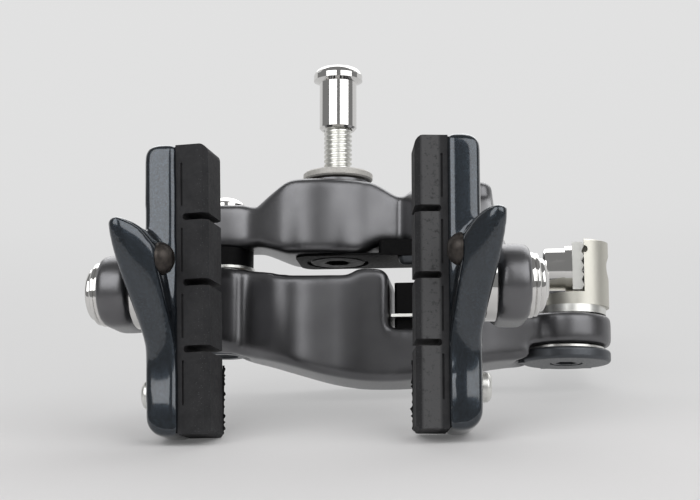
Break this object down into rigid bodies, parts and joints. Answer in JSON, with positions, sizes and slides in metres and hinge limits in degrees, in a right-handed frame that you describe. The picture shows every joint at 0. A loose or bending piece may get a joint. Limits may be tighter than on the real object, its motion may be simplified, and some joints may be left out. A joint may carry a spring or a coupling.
{
  "type": "caliper brake",
  "caption": "Dual-pivot side-pull caliper brake for a road bicycle, with grooved pads, wheel guides, quick release and cable adjuster, held by its central bolt",
  "frame": {"origin": "on the mounting bolt's axis, at the seat of the grey washer against the bicycle's frame", "axes": "+Z along the mounting bolt away from the arms; +X to the cable side; +Y up when the brake hangs over the wheel"},
  "size_m": [0.1006, 0.1185, 0.0833],
  "materials": {
    "arm_paint": "satin dark grey",
    "holder_paint": "gloss blue-black",
    "pad_rubber": "matte worn",
    "chrome": "polished",
    "zinc": "bright zinc",
    "nickel": "satin nickel",
    "grey_washer": "matte light grey",
    "black_steel": "satin black",
    "black_plastic": "moulded",
    "bronze_screw": "bronze grey",
    "brass": "plain bearing",
    "anodised": "anodised dark"
  },
  "bodies": {
    "mount": {"mounting_bolt": "zinc", "seat_washer": "grey_washer"},
    "nut": {"recessed_nut": "chrome"},
    "rear_arm": {"rear_arm": "arm_paint", "centre_bush": "brass", "side_pivot_bolt": "chrome", "side_pivot_spacer": "black_plastic", "side_pivot_washer": "zinc", "side_pivot_nut": "black_steel", "spring_holder": "black_plastic", "return_spring": "black_steel", "centring_screw": "black_steel", "shoe_holder_right": "holder_paint", "brake_pad_right": "pad_rubber", "convex_washer_right": "zinc", "concave_washer_right": "chrome", "shoe_washer_right": "chrome", "shoe_bolt_right": "chrome", "guide_screw_right": "bronze_screw", "pad_screw_right": "zinc"},
    "front_arm": {"front_arm": "arm_paint", "front_bush": "brass", "spring_seat": "black_plastic", "spring_shim": "zinc", "shoe_holder_left": "holder_paint", "brake_pad_left": "pad_rubber", "convex_washer_left": "zinc", "concave_washer_left": "chrome", "shoe_washer_left": "chrome", "shoe_bolt_left": "chrome", "guide_screw_left": "bronze_screw", "pad_screw_left": "zinc"},
    "quick_release": {"anchor_post": "nickel", "anchor_washer": "zinc", "release_lever": "black_steel", "lever_washer": "zinc", "lever_screw": "black_steel", "clamp_screw": "chrome", "clamp_washer": "chrome", "clamp_plate": "zinc"},
    "adjuster_barrel": {"adjuster_barrel": "anodised"},
    "adjuster_ring": {"adjuster_ring": "black_plastic"}
  },
  "joints": [
    {"name": "nut_slide", "type": "slide", "parent": "mount", "child": "nut", "axis": [0, 0, 1], "range_m": [0, 0.04]},
    {"name": "rear_swing", "type": "hinge", "parent": "mount", "child": "rear_arm", "pos_m": [0, 0, -0.0103], "axis": [0, 0, -1], "range_deg": [0, 9.5]},
    {"name": "front_swing", "type": "hinge", "parent": "rear_arm", "child": "front_arm", "pos_m": [-0.024, 0, -0.03], "axis": [0, 0, 1], "range_deg": [0, 19], "stiffness_Nm_per_rad": 1, "springref_deg": -22.92, "deforming": ["return_spring"]},
    {"name": "release_turn", "type": "hinge", "parent": "front_arm", "child": "quick_release", "pos_m": [0.0474, 0.002, -0.0345], "axis": [0, 0, -1], "range_deg": [0, 90]},
    {"name": "adjuster_turn", "type": "hinge", "parent": "rear_arm", "child": "adjuster_ring", "pos_m": [0.0514, 0.0493, -0.018], "axis": [0, 1, 0], "range_deg": [0, 2166]},
    {"name": "adjuster_slide", "type": "slide", "parent": "rear_arm", "child": "adjuster_barrel", "axis": [0, 1, 0], "range_m": [0, 0.006]}
  ],
  "couplings": [
    {"joint": "front_swing", "follows": "rear_swing", "ratio": 2},
    {"joint": "adjuster_turn", "follows": "adjuster_slide", "rad_per_m": 6283.2}
  ]
}
